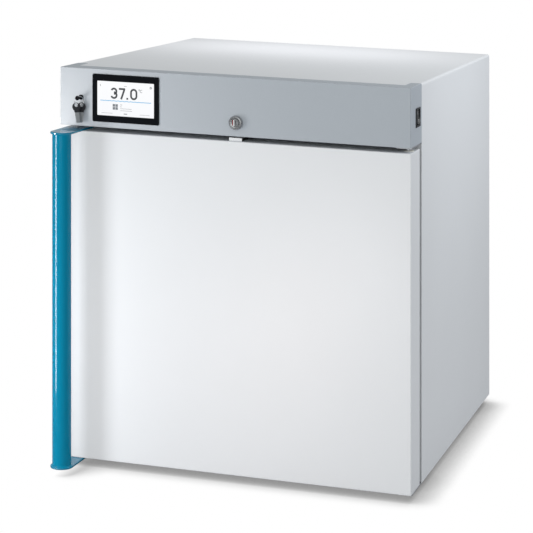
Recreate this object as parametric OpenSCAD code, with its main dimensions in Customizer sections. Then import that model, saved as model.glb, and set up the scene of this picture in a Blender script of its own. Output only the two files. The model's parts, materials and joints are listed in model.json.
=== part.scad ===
// Bench-top laboratory incubator: a folded sheet-metal cabinet with a control fascia
// above one insulated door, a full-height tubular handle, a stainless chamber with
// two wire shelves, and a fan and heater behind an air baffle.
// Units are millimetres. +Z is up and the door faces -Y. The origin is on the bench,
// at the middle of the overall footprint, handle and rear fittings included.

/* [Cabinet] */
// Outside width of the cabinet
cab_w = 580; // [560:1:620]
// Depth from the door's front face to the rear rim
cab_d = 626; // [610:1:680]
// Height of the casing above its underside
cab_h = 627; // [620:1:640]
// Height of the rubber feet
foot_h = 12; // [10:0.5:20]
// Outside corner radius of the folded casing
casing_r = 4; // [2:0.5:6]
// Thickness of the painted sheet steel
sheet_t = 1.5; // [1.2:0.1:2]

/* [Control fascia] */
// Height of the control fascia
fascia_h = 93; // [90:1:96]
// Depth of the fascia's side returns
fascia_d = 73; // [70:1:76]
// Width of each grey cheek left bare beside the top sheet
cheek_w = 18; // [12:1:24]
// Depth of the grey strip left bare in front of the top sheet
strip_d = 35; // [20:1:45]
// Distance of the display's middle from the centre line
display_x = -177.2; // [-185:0.1:-170]
// Height of the display's middle above the fascia's lower edge
display_up = 47; // [46:0.5:48]
// Distance of the door lock from the centre line
lock_x = 8; // [4:0.5:12]
// Height of the door lock above the fascia's lower edge
lock_up = 22; // [21:0.5:23]

/* [Door] */
// Gap between the door's top edge and the fascia
door_gap = 8; // [7.5:0.5:9]
// Thickness of the door slab
door_t = 59; // [56:1:60]
// Distance of the hinge axis in from the door's right edge
hinge_in = 11; // [11:0.5:13]
// Distance of the hinge axis behind the door's front face
hinge_back = 30; // [28:1:32]

/* [Handle] */
// Outside radius of the handle tube
handle_r = 15; // [13:0.5:16]
// Distance of the handle from the centre line
handle_x = -268; // [-270:0.5:-262]
// Distance of the handle's axis in front of the door
handle_out = 44; // [38:1:50]
// Half width of the handle's end plates
handle_plate_r = 18; // [17:0.5:20]

/* [Chamber] */
// Inside width of the chamber
chamber_w = 400; // [390:1:404]
// Inside height of the chamber
chamber_h = 400; // [390:1:404]
// Inside depth of the chamber
chamber_d = 380; // [378:1:382]
// Height of the lower shelf above the chamber floor
shelf_low = 117; // [100:1:130]
// Height of the upper shelf above the chamber floor
shelf_high = 257; // [240:1:270]

/* [Hidden] */
$fn = 48;

// Ranges are [low, high]. These two make one about a middle, and widen one at both ends.
function span(half, mid = 0) = [mid - half, mid + half];
function grow(range, by) = [range[0] - by, range[1] + by];

// Cabinet frame: y = 0 is the door's front face, z = 0 the casing's underside
half_w = cab_w / 2;
inside_half = half_w - sheet_t - 0.3;  // half width of panels fitted inside the casing
fascia_z = cab_h - fascia_h;           // lower edge of the fascia
door_z = [1, fascia_z - door_gap];
liner_t = 1.2;
frame_y = [fascia_d + 0.4, fascia_d + 0.4 + sheet_t];
chamber_y0 = frame_y[1] + 0.2;
chamber_y = [chamber_y0, chamber_y0 + chamber_d];
chamber_z = [63, 63 + chamber_h];
chamber_half = chamber_w / 2;
baffle_y = [chamber_y[1] - 25, chamber_y[1] - 25 + liner_t];
jacket_y1 = 540;                       // back of the insulation
rear_y = 620;                          // front of the rear cover
cover_y = [rear_y, rear_y + 1.5];
plug_out = 13;                         // reach of the stopper behind rear_y
footprint_y = (rear_y + plug_out - handle_out - handle_plate_r) / 2;

// Centres in the front plane, [x, z]
display = [display_x, fascia_z + display_up];
lock = [lock_x, fascia_z + lock_up];
hook = [-254, 580];
fan = [0, chamber_z[0] + chamber_h / 2];
port = [-150, 400];
probe = [150, 425];
inlet = [230, 590];
harness = [-120, fascia_z + 22];

// Heater: radius of the open turn, and half the angle it leaves open at the bottom
heater_r = 88;
heater_gap = 10;
heater_leads = [for (s = [-1, 1])
  [s * heater_r * sin(heater_gap), fan[1] - heater_r * cos(heater_gap)]];

// Mains switch, and its pivot as [x, z]
switch_y = 45;
switch_z = 577;
switch_pivot = [half_w - 5, switch_z];

// Feet, hinge and handle, [x, y]
foot_pts = [for (x = [-238, 238], y = [112, 582]) [x, y]];
foot_bore_r = 2.7;
hinge_axis = [half_w - hinge_in, hinge_back];
lower_hinge_pts = [for (y = [95, 118]) [hinge_axis[0] - 4, y]];
handle_pts = [for (y = [16, 34]) [handle_x, y]];
screw_hole_r = 2.2;                    // hinge and handle screws

// Upper hinge screws and rear cover screws, [x, z]
upper_hinge_pts = [for (x = [268, 281]) [x, fascia_z + 17]];
rear_screw_in = 8.5;
rear_screw_pts = concat(
  [for (z = [60, 190, 320, 450, 580], s = [-1, 1]) [s * (half_w - rear_screw_in), z]],
  [for (x = [-180, 0, 180], z = [cab_h - rear_screw_in, 8]) [x, z]]);

// ---- Helpers ----

module cab() translate([0, -footprint_y, foot_h]) children();

// Box between three ranges
module box(x, y, z)
  translate([x[0], y[0], z[0]]) cube([x[1] - x[0], y[1] - y[0], z[1] - z[0]]);

// Box whose x range is measured outward from the centre line, on side -1 or 1
module side_box(side, x, y, z) box(side > 0 ? x : [-x[1], -x[0]], y, z);

// Cylinders along each axis; "at" holds the other two coordinates in x, y, z order
module rod_x(at, x, r)
  translate([x[0], at[0], at[1]]) rotate([0, 90, 0]) cylinder(r = r, h = x[1] - x[0]);
module rod_y(at, y, r)
  translate([at[0], y[0], at[1]]) rotate([-90, 0, 0]) cylinder(r = r, h = y[1] - y[0]);
module rod_z(at, z, r) translate([at[0], at[1], z[0]]) cylinder(r = r, h = z[1] - z[0]);

// Front-plane outline carried through a y range
module extrude_y(y, at = [0, 0]) translate([at[0], y[1], at[1]]) rotate([90, 0, 0])
  linear_extrude(y[1] - y[0]) children();

// Profile of [radius, y] points turned about a y axis
module turned_y(at, y, profile)
  translate([at[0], y, at[1]]) rotate([-90, 0, 0]) rotate_extrude() polygon(profile);

function quarter(x, y, r, from) =
  [for (a = [0:15:90]) [x + r * cos(from + a), y + r * sin(from + a)]];

// Rounded plate in the front plane, size [width, height]
module plate(at, size, r, y) {
  x = size[0] / 2 - r;
  z = size[1] / 2 - r;
  extrude_y(y, at) polygon(concat(quarter(x, z, r, 0), quarter(-x, z, r, 90),
    quarter(-x, -z, r, 180), quarter(x, -z, r, 270)));
}

// Arch seen from the front: square at the floor, rounded at the top
module arch(half, y, z, r) extrude_y(y) polygon(concat([[-half, z[0]], [half, z[0]]],
  quarter(half - r, z[1] - r, r, 0), quarter(-half + r, z[1] - r, r, 90)));

// Tray seen from above: rounded at the front, square at the back
module tray(half, y, z, r) translate([0, 0, z[0]]) linear_extrude(z[1] - z[0])
  polygon(concat([[half, y[1]], [-half, y[1]]],
    quarter(-half + r, y[0] + r, r, 180), quarter(half - r, y[0] + r, r, 270)));

// Rectangular border in the front plane
module border(y, half, z, hole_half, hole_z) difference() {
  box(span(half), y, z);
  box(span(hole_half), grow(y, 1), hole_z);
}

// Holes for what passes through the chamber's back
module service_holes(y, fan_r, port_r, probe_r, lead_r) {
  rod_y(fan, y, fan_r);
  rod_y(port, y, port_r);
  rod_y(probe, y, probe_r);
  for (p = heater_leads) rod_y(p, y, lead_r);
}

// ---- Cabinet ----

// White wrap: sides and top in one folded sheet, a tongue over part of the fascia,
// and a border that takes the rear cover
module outer_casing() color("gainsboro") cab() difference() {
  union() {
    difference() {
      arch(half_w, [fascia_d, cab_d], [0, cab_h], casing_r);
      arch(half_w - sheet_t, [fascia_d - 1, cab_d + 1], [-1, cab_h - sheet_t],
        casing_r - sheet_t);
    }
    tray(half_w - cheek_w, [strip_d, fascia_d + 6], [cab_h - sheet_t, cab_h], 3);
    border([rear_y - 1.7, rear_y - 0.2], half_w - 1, [0, cab_h - 1],
      half_w - 15, [15, cab_h - 15]);
  }
  for (p = rear_screw_pts) rod_y(p, [rear_y - 4, rear_y + 1], 2);
}

// Rear cover, recessed inside the rim of the wrap, with louvre slots
module rear_cover() color("gainsboro") cab() difference() {
  cut = grow(cover_y, 1);
  slot_h = 4;
  slot_r = 1.9;
  box(span(half_w - 3), cover_y, [2, cab_h - 3]);
  for (p = rear_screw_pts) rod_y(p, cut, 2.3);
  rod_y(port, cut, 18);
  box(span(15, inlet[0]), cut, span(11, inlet[1]));
  for (i = [0:6], x = [-160, -60, 40]) plate([x, 550 + i * 9], [70, slot_h], slot_r, cut);
  for (i = [0:8], x = [-60, 60]) plate([x, 220 + i * 10], [80, slot_h], slot_r, cut);
}

// Floor sheet with an upstand along each side
module base_plate() color("silver") cab() difference() {
  union() {
    box(span(inside_half), [frame_y[0] + 2, rear_y - 2], [0, sheet_t]);
    for (s = [-1, 1]) box(span(0.6, s * (half_w - 2.5)), [100, 605], [sheet_t - 0.5, 14]);
  }
  for (p = foot_pts) rod_z(p, [-1, 3], foot_bore_r);
  for (p = lower_hinge_pts) rod_z(p, [-1, 3], screw_hole_r);
}

// Tapered feet, counterbored from below
module rubber_feet() color("dimgray") cab() for (p = foot_pts) difference() {
  translate([p[0], p[1], 0]) rotate_extrude()
    polygon([[0, -foot_h], [15.5, -foot_h], [17, -foot_h + 1.5], [19, 0], [0, 0]]);
  rod_z(p, [-foot_h - 1, 1], foot_bore_r);
  rod_z(p, [-foot_h - 1, -foot_h + 5], 6);
}

// Head, shank and hexagonal nut for each foot
module foot_screws() color("silver") cab() for (p = foot_pts) {
  rod_z(p, [-foot_h + 2.5, -foot_h + 5], 5.2);
  rod_z(p, [-foot_h + 4, 6], 2.4);
  rod_z(p, [1.5, 4.9], 4.6, $fn = 6);
}

// Steel bulkhead round the chamber mouth: the door's gasket seats on it
module front_frame() color("whitesmoke") cab() difference() {
  cut = grow(frame_y, 1);
  union() {
    box(span(inside_half), frame_y, [1.7, fascia_z + 41]);
    for (s = [-1, 1])
      box(span(0.6, s * (half_w - 2.5)), [frame_y[0] + 1, 95], [1.7, fascia_z - 5]);
  }
  plate(fan, [chamber_w, chamber_h], 5, cut);
  rod_y(harness, cut, 8);
  for (p = upper_hinge_pts) rod_y(p, cut, screw_hole_r);
}

// Floor of the electronics compartment, over the insulation
module compartment_floor() color("silver") cab() difference() {
  box([-286, 286], [96, 600], [fascia_z - 4, fascia_z - 2.8]);
  rod_z([200, 560], [fascia_z - 6, fascia_z], 9);
}

// Mineral-wool jacket between chamber and casing
module insulation_jacket() color("khaki") cab() difference() {
  box(span(half_w - 3.6), [chamber_y[0] + 1.5, jacket_y1], [2, fascia_z - 4.4]);
  box(span(chamber_half + 1.5), [chamber_y[0], chamber_y[1] + 1.5], grow(chamber_z, 1.5));
  service_holes([chamber_y[1], jacket_y1 + 1], fan_r = 9, port_r = 17.6, probe_r = 3,
    lead_r = 5);
  rod_y(fan, [477, jacket_y1 + 1], 37);  // motor
  for (p = foot_pts) if (p[1] < jacket_y1) rod_z(p, [0, 9], 8);
  for (p = lower_hinge_pts) rod_z(p, [0, 9], 5);
}

// ---- Chamber ----

// Stainless chamber, open at the front, with a flange round its mouth
module chamber_liner() color("lightsteelblue") cab() difference() {
  union() {
    box(span(chamber_half + liner_t), [chamber_y[0], chamber_y[1] + liner_t],
      grow(chamber_z, liner_t));
    box(span(chamber_half + 14), [chamber_y[0], chamber_y[0] + liner_t], grow(chamber_z, 14));
  }
  box(span(chamber_half), [chamber_y[0] - 1, chamber_y[1]], chamber_z);
  service_holes([chamber_y[1] - 1, chamber_y[1] + 3], fan_r = 7, port_r = 17.3,
    probe_r = 2.6, lead_r = 4);
}

// Rack on one chamber wall: two posts carrying two anti-tilt channels
module runner(side) cab() {
  web_x = [chamber_half - 1.8, chamber_half - 0.3];
  channel_y = [104, 412];
  for (y = [150, 370]) side_box(side, web_x, [y, y + 14], grow(chamber_z, -12));
  for (level = [shelf_low, shelf_high]) translate([0, 0, chamber_z[0] + level]) {
    side_box(side, [chamber_half - 11, web_x[1]], channel_y, [-1.5, 0]);
    side_box(side, [chamber_half - 8, web_x[1]], channel_y, [6.2, 7.7]);
    side_box(side, web_x, channel_y, [-1.5, 7.7]);
  }
}
module shelf_runner_left() color("silver") runner(-1);
module shelf_runner_right() color("silver") runner(1);

// Welded wire shelf: rod frame, cross rod and close-set top wires
module wire_shelf(level) cab() translate([0, 0, chamber_z[0] + level + 2.6]) {
  rod_r = 2.5;
  rod_half = chamber_half - 5.5;
  shelf_y = [94, 412];
  for (s = [-1, 1]) rod_y([s * rod_half, 0], shelf_y, rod_r);
  for (y = [shelf_y[0], 253, shelf_y[1]]) rod_x([y, 0], span(rod_half), rod_r);
  for (s = [-1, 1], y = shelf_y) translate([s * rod_half, y, 0]) sphere(r = rod_r);
  for (i = [-8:8]) rod_y([i * 21, 3.1], grow(shelf_y, 2), 1.4, $fn = 24);
}
module shelf_upper() color("silver") wire_shelf(shelf_high);
module shelf_lower() color("silver") wire_shelf(shelf_low);

// Pressed baffle in front of the fan: radial intake slots, side outlets
module air_baffle() color("lightsteelblue") cab() difference() {
  cut = grow(baffle_y, 1);
  baffle_z = grow(chamber_z, -3);
  intakes = 24;
  outlet_pitch = 32;
  union() {
    box(span(chamber_half - 2), baffle_y, baffle_z);
    for (s = [-1, 1])
      box(span(0.6, s * (chamber_half - 2.6)), [baffle_y[0], chamber_y[1] - 0.2], baffle_z);
  }
  translate([0, 0, fan[1]]) for (i = [1:intakes])
    rotate([0, i * 360 / intakes, 0]) box(span(1.6), cut, [24, 58]);
  for (s = [-1, 1], i = [0:9]) translate([s * 170, 0, chamber_z[0] + i * outlet_pitch])
    box(span(14), cut, [30, 35]);
  rod_y(port, cut, 18);
  rod_y(probe, cut, 2.6);
}

// Radial fan on its shaft: shaft, hub, back disc and blades
module fan_wheel() color("gray") cab() {
  front = baffle_y[0] + 4;
  blades = 12;
  rod_y(fan, [front + 2, 498], 3);
  rod_y(fan, [front, front + 16], 11);
  rod_y(fan, [front + 14.5, front + 16], 70);
  translate([0, 0, fan[1]]) for (i = [1:blades])
    rotate([0, i * 360 / blades, 0]) box([28, 69], [front, front + 15], span(0.6));
}

// Motor can with front boss, mounting strap and rear boss, bored for the shaft
module fan_motor() color("darkslategray") cab() difference() {
  union() {
    rod_y(fan, [480, 546], 33);
    rod_y(fan, [474, 481], 8);
    box(span(80), [jacket_y1 + 0.2, jacket_y1 + 2.2], span(20, fan[1]));
    rod_y(fan, [545, 552], 12);
  }
  rod_y(fan, [473, 502], 3.05);
}

// Tubular heater: one open turn round the fan, with two leads to the back
module heater_coil() color("dimgray") cab() {
  translate([0, baffle_y[0] + 13, fan[1]]) rotate([90, 0, 0]) rotate([0, 0, heater_gap - 90])
    rotate_extrude(angle = 360 - 2 * heater_gap)
      translate([heater_r, 0]) circle(r = 3, $fn = 32);
  for (p = heater_leads) rod_y(p, [baffle_y[0] + 9, 560], 3.6);
}

// Round-tipped probe with a collar in front of the baffle
module temperature_probe() color("silver") cab() {
  probe_r = 2.2;
  tip_y = 392;
  rod_y(probe, [tip_y, 560], probe_r);
  rod_y(probe, [baffle_y[0] - 5, baffle_y[0] - 0.1], 6);
  translate([probe[0], tip_y, probe[1]]) sphere(r = probe_r);
}

// Sleeve of the rear access port, flanged behind the cover
module port_tube() color("silver") cab() difference() {
  back = rear_y + 4.6;
  union() {
    rod_y(port, [chamber_y[1] - 2, back], 17);
    rod_y(port, [back - 3, back], 25);
  }
  rod_y(port, [chamber_y[1] - 3, back + 1], 15);
}

// Silicone stopper with a grip rim, hollow at its front end
module port_plug() color("darkorange") cab() difference() {
  union() {
    rod_y(port, [560, rear_y + 5], 14.95);
    rod_y(port, [rear_y + 4.8, rear_y + 8.8], 20);
    rod_y(port, [rear_y + 8, rear_y + plug_out], 12);
  }
  rod_y(port, [555, 605], 9);
}

// ---- Control fascia ----

// Grey fascia: front, ends and underside in folded sheet, with cheeks and a front
// strip on top
module control_fascia() color("slategray") cab() difference() {
  back = fascia_d - 0.3;
  top_z = [cab_h - 2, cab_h];
  union() {
    difference() {
      tray(half_w, [0, back], [fascia_z, cab_h], 1.6);
      tray(half_w - 2, [2, fascia_d + 3], [fascia_z - 1, cab_h + 1], 0.8);
    }
    tray(half_w - 1, [1, 60], [fascia_z, fascia_z + 2], 2);
    for (s = [-1, 1]) side_box(s, [half_w - cheek_w + 0.4, half_w - 1], [1, back], top_z);
    box(span(half_w - 3), [1, strip_d - 0.4], top_z);
  }
  plate(display, [104, 66], 3, [-1, 5]);
  rod_y(lock, [-1, 4], 8);
  rod_y(hook, [-1, 4], 1.6);
  box([half_w - 4, half_w + 1], span(12.5, switch_y), span(13.5, switch_z));
  // Slot for the lock cam
  box([lock_x - 9, lock_x + 32], [20.5, 28], [fascia_z - 1, fascia_z + 3]);
}

module display_bezel() color("black") cab() difference() {
  union() {
    plate(display, [113.5, 76.5], 2.5, [-1.6, 0]);
    plate(display, [103.5, 65.5], 2.8, [-0.5, 9]);
  }
  plate(display, [96.6, 55], 0.8, [-3, 10]);
}

module touch_screen() color("white") cab() plate(display, [96.2, 54.6], 0.6, [-1.3, 2.4]);

// Board with the display module in front and three components behind
module display_board() color("darkgreen") cab() translate([display[0], 0, display[1]]) {
  box(span(50), [9.2, 10.8], span(31));
  box(span(47), [2.6, 9.3], span(26.5));
  box([-30, -12], [10.7, 13], [-10, 8]);
  box([10, 34], [10.7, 18], [-22, -12]);
  box([5, 17], [10.7, 12.5], [4, 16]);
}

// Door lock: chromed head, threaded barrel and its nut
module lock_body() color("silver") cab() difference() {
  union() {
    turned_y(lock, 0, [[0, -6], [9.6, -6], [11, -4.6], [11, 0], [0, 0]]);
    rod_y(lock, [-1, 20], 7.9);
    rod_y(lock, [2.1, 6.1], 13, $fn = 6);
  }
  rod_y(lock, [-7, 21], 6.05);
}

// Key barrel of the door lock, with the keyway cut in its face
module lock_plug() color("gainsboro") cab() difference() {
  union() {
    rod_y(lock, [-5.4, 21.9], 6);
    rod_y(lock, [21, 26.8], 4);
  }
  box(span(0.9, lock[0]), [-7, 6], span(3.8, lock[1]));
}

// Cam on the lock's tail, lying level toward +X, with its nut behind
module lock_cam() color("silver") cab() difference() {
  union() {
    extrude_y([22.1, 24.1], lock) union() {
      circle(r = 7);
      translate([0, -6]) square([27, 12]);
    }
    rod_y(lock, [24, 26.4], 6.4, $fn = 6);
  }
  rod_y(lock, [20, 28], 4);
}

// Peg with a base collar and an end flange
module key_hook() color("black") cab() {
  rod_y(hook, [-1.6, 0], 4.2);
  rod_y(hook, [-15, 5], 1.5);
  rod_y(hook, [-16.6, -13.7], 3.6);
}

// Keys: the ring's size and centre, and how far round from its bottom each key hangs
ring_r = 7.5;
ring_wire_r = 0.6;
ring_y = -8.2;
ring_z = hook[1] + 1.55 - (ring_r - ring_wire_r);
ring_turn = 45;
key_angle = 38;

// Split ring hanging on the hook, turned edge-on by ring_turn
module key_ring() color("silver") cab() translate([hook[0], ring_y, ring_z])
  rotate([0, 0, ring_turn]) rotate([90, 0, 0])
    rotate_extrude() translate([ring_r, 0]) circle(r = ring_wire_r, $fn = 24);

// One key: a moulded head with its ring hole, over a flat notched blade
module one_key(side, tilt) {
  out = side * ring_r * sin(key_angle);
  x = hook[0] + out * cos(ring_turn);
  y = ring_y + out * sin(ring_turn);
  cab() translate([x, y, ring_z - ring_r * cos(key_angle) - 0.3])
    rotate([0, tilt, 0]) difference() {
      union() {
        extrude_y(span(0.8)) union() {
          translate([0, -3.2]) circle(r = 7);
          translate([-4, -12]) square([8, 8]);
        }
        box(span(3.5), span(0.6), [-28.5, -10.5]);
      }
      rod_y([0, 0], span(3), 3.2);
      for (i = [0:3]) translate([side * 3.5, 0, -25 + i * 3.4])
        rotate([0, 45, 0]) cube([1.6, 4, 1.6], center = true);
    }
}
module key_left() color("black") one_key(-1, -6);
module key_right() color("black") one_key(1, 2);

// Mains switch housing in the right cheek: rim, body and three terminals
module switch_housing() color("black") cab() difference() {
  union() {
    box([half_w, half_w + 1.6], span(14, switch_y), span(15, switch_z));
    box([half_w - 17, half_w + 0.5], span(12.3, switch_y), span(13.3, switch_z));
    for (i = [-1:1])
      box([half_w - 24, half_w - 16], span(3, switch_y), span(0.5, switch_z + i * 8));
  }
  box([half_w - 12, half_w + 3], span(10.6, switch_y), span(12, switch_z));
  rod_y(switch_pivot, span(12, switch_y), 1.55);
}

// Rocker: two faces meeting at a shallow angle, on side trunnions, tilted
module switch_rocker() color("black") cab()
  translate([switch_pivot[0], switch_y, switch_pivot[1]]) rotate([0, -7, 0]) {
    extrude_y(span(10.2)) polygon([[-3, -5], [-3, 5], [4.6, 11], [6.6, 11], [5.6, 0],
      [6.6, -11], [4.6, -11]]);
    rod_y([0, 0], span(11.6), 1.5);
  }

// ---- Electronics: heights are above the fascia's lower edge ----

// Board on four posts, with box-shaped parts and three round ones
module control_board() color("darkgreen") cab() translate([0, 0, fascia_z]) {
  box([-150, 10], [150, 260], [4, 5.6]);
  for (x = [-145, 5], y = [155, 255]) rod_z([x, y], [-2.8, 4.5], 3);
  box([-140, -110], [165, 200], [5, 20]);
  box([-100, -84], [165, 245], [5, 12]);
  box([-70, -45], [215, 250], [5, 24]);
  for (i = [0:2]) rod_z([-60 + i * 22, 180], [5, 27], 8);
  box([-40, 0], [220, 250], [5, 16]);
}

// Case open at the front, with vent slots in its top
module power_supply() color("silver") cab() translate([0, 0, fascia_z]) difference() {
  box([60, 180], [150, 260], [-2.8, 42]);
  box([62, 178], [140, 258], [1, 40]);
  for (i = [0:8]) box([72 + i * 12, 76 + i * 12], [170, 240], [39, 43]);
}

// Cable run back from behind the display, then down to the control board
module wiring_harness() color("black") cab() {
  cable_r = 4;
  run_y = [22, 140];
  x = harness[0];
  z = harness[1];
  rod_y(harness, run_y, cable_r);
  for (y = run_y) translate([x, y, z]) sphere(r = cable_r);
  rod_z([x, run_y[1]], [z - 20, z], cable_r);
  rod_x([run_y[0], z], [x - 30, x], cable_r);
}

// Rear socket: flange, body and three terminals in front of it
module mains_inlet() color("black") cab() difference() {
  union() {
    plate(inlet, [48, 30], 4, [cover_y[1], rear_y + 4.5]);
    plate(inlet, [29, 21], 2, [rear_y - 16, rear_y + 3]);
    for (x = [-7, 0, 7])
      box(span(1.5, inlet[0] + x), [rear_y - 24, rear_y - 15], span(1, inlet[1]));
  }
  plate(inlet, [24, 16.5], 2, [rear_y - 11, rear_y + 6]);
}

module rear_screws() color("silver") cab() for (p = rear_screw_pts) {
  turned_y(p, cover_y[1], [[0, 0], [3.9, 0], [3.9, 1.2], [3.1, 2.1], [0, 2.1]]);
  rod_y(p, [rear_y - 6, rear_y + 2], 1.8);
}

// ---- Door ----

// Hinge and handle-screw holes, cut to a depth either side of both door edges
module door_holes(hinge_depth, hinge_r, screw_depth, screw_r) for (z = door_z) {
  rod_z(hinge_axis, span(hinge_depth, z), hinge_r);
  for (p = handle_pts) rod_z(p, span(screw_depth, z), screw_r);
}

// Door outer: front, four edges and a turned-in rear lip in folded sheet
module door_shell() color("white") cab() difference() {
  union() {
    difference() {
      tray(half_w, [0, door_t], door_z, 2.2);
      tray(half_w - sheet_t, [sheet_t, door_t + 1], grow(door_z, -sheet_t), 1.2);
    }
    border([door_t - 1.5, door_t], half_w - 1, grow(door_z, -0.5),
      half_w - 18, grow(door_z, -18));
  }
  door_holes(3, 6.1, 3, screw_hole_r);
}

// Slab filling the shell, and a block filling the raised inner panel
module door_insulation() color("khaki") cab() difference() {
  inset = sheet_t + 0.2;
  union() {
    tray(half_w - inset, [inset, door_t - 1.7], grow(door_z, -inset), 2.5);
    box(span(chamber_half - 8.5), [door_t - 4, door_t + 19.5], grow(chamber_z, -6.5));
  }
  door_holes(22, 6.4, 18, 3);
}

// Stainless door liner with a raised panel that enters the chamber mouth
module door_inner_panel() color("lightsteelblue") cab() difference() {
  union() {
    box(span(half_w - 5), [door_t + 0.1, door_t + 1.3], grow(door_z, -5));
    plate(fan, [chamber_w - 14, chamber_h - 10], 5, [door_t + 0.5, door_t + 21]);
  }
  box(span(chamber_half - 8.2), [door_t - 1, door_t + 19.8], grow(chamber_z, -6.2));
}

// Gasket round the door: a flat foot and a narrower bead behind it.
// Each row is y range, outer inset, inner inset.
module door_gasket() color("dimgray") cab()
  for (ring = [[[door_t + 1.4, door_t + 6], 9, 29], [[door_t + 5, fascia_d + 0.1], 12, 26]])
    border(ring[0], half_w - ring[1], grow(door_z, -ring[1]),
      half_w - ring[2], grow(door_z, -ring[2]));

// Striker on the door's top edge: a channel with a lip in front of and behind the cam
module striker() color("white") cab() translate([lock_x - 2, 0, door_z[1]]) {
  x = span(10.7);
  box(x, [2.5, 33], [0, 1.2]);
  for (y = [2.5, 31.5]) box(x, [y, y + 1.5], [0, 5.6]);
}

// ---- Handle ----

handle_plate_t = 3.3;

module handle_tube() color("teal") cab() difference() {
  rod_z([handle_x, -handle_out], door_z, handle_r);
  rod_z([handle_x, -handle_out], grow(door_z, 1), handle_r - 2);
}

// End plate from the tube back over the door's edge
module handle_plate(z) cab() translate([0, 0, z]) difference() {
  linear_extrude(handle_plate_t) translate([handle_x, -handle_out]) union() {
    circle(r = handle_plate_r);
    translate([-handle_plate_r, 0]) square([2 * handle_plate_r, handle_out + 46]);
  }
  for (p = handle_pts) rod_z(p, [-1, 5], screw_hole_r);
}
module handle_plate_upper() color("teal") handle_plate(door_z[1]);
module handle_plate_lower() color("teal") handle_plate(door_z[0] - handle_plate_t);

module handle_screws() color("silver") cab() for (p = handle_pts) {
  top = door_z[1] + handle_plate_t;
  bottom = door_z[0] - handle_plate_t;
  rod_z(p, [top, top + 1.8], 4);
  rod_z(p, [door_z[1] - 15, door_z[1] + 4], 1.95);
  rod_z(p, [bottom - 1.8, bottom], 4);
  rod_z(p, [door_z[0] - 4, door_z[0] + 15], 1.95);
}

// ---- Hinges ----

bracket_x0 = 263;                      // inner edge of both brackets
bracket_y0 = 16;                       // front edge of both brackets
pin_r = 4;
upper_back = frame_y[0] - 0.2;         // back of the upper bracket
lower_z = -3.3;                        // underside of the lower bracket

// Flanged nylon bushes; each row is door edge z, flange range, sleeve range
module hinge_bushes() color("ivory") cab()
  for (bush = [[door_z[1], [0, 0.9], [-16, 0.5]], [door_z[0], [-0.9, 0], [-0.5, 16]]])
    translate([0, 0, bush[0]]) difference() {
      union() {
        rod_z(hinge_axis, bush[1], 8);
        rod_z(hinge_axis, bush[2], 6);
      }
      rod_z(hinge_axis, span(20), pin_r + 0.05);
    }

// Angle bracket on the front frame, with its pin
module hinge_bracket_upper() color("silver") cab() difference() {
  x = [bracket_x0, half_w - 2.5];
  union() {
    box(x, [bracket_y0, upper_back], [fascia_z - 3.6, fascia_z - 0.4]);
    box(x, [upper_back - 3, upper_back], [fascia_z - 3.6, fascia_z + 28]);
    rod_z(hinge_axis, [fascia_z - 23, fascia_z - 1], pin_r);
  }
  for (p = upper_hinge_pts) rod_y(p, [frame_y[0] - 5, frame_y[0] + 1], screw_hole_r);
}

// Flat bracket under the base plate, with its pin
module hinge_bracket_lower() color("silver") cab() difference() {
  union() {
    box([bracket_x0, half_w - 2], [bracket_y0, 130], [lower_z, 0]);
    rod_z(hinge_axis, [lower_z, 16], pin_r);
  }
  for (p = lower_hinge_pts) rod_z(p, [-5, 1], screw_hole_r);
}

module hinge_screws() color("silver") cab() {
  for (p = upper_hinge_pts) {
    rod_y(p, [upper_back - 5, upper_back - 3], 3.6);
    rod_y(p, [frame_y[0] - 4, frame_y[0] + 6], 2);
  }
  for (p = lower_hinge_pts) {
    rod_z(p, [lower_z - 2, lower_z], 3.8);
    rod_z(p, [-4, 6], 2);
  }
}

outer_casing();
rear_cover();
base_plate();
rubber_feet();
foot_screws();
front_frame();
compartment_floor();
chamber_liner();
insulation_jacket();
shelf_runner_left();
shelf_runner_right();
shelf_upper();
shelf_lower();
air_baffle();
fan_wheel();
fan_motor();
heater_coil();
temperature_probe();
port_tube();
port_plug();
control_fascia();
display_bezel();
touch_screen();
display_board();
lock_body();
lock_plug();
lock_cam();
key_hook();
key_ring();
key_left();
key_right();
switch_housing();
switch_rocker();
control_board();
power_supply();
wiring_harness();
mains_inlet();
rear_screws();
door_shell();
door_insulation();
door_inner_panel();
door_gasket();
striker();
handle_tube();
handle_plate_upper();
handle_plate_lower();
handle_screws();
hinge_bushes();
hinge_bracket_upper();
hinge_bracket_lower();
hinge_screws();
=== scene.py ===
"""A heated cabinet with a touch display, a hinged door with a bar handle, a cam lock and two keys.

The row frame is in metres, +Z up. The front faces -Y and +X is on the right of someone facing it.
"""
import json
import math

import bmesh
import bpy
from mathutils import Matrix, Vector

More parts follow.
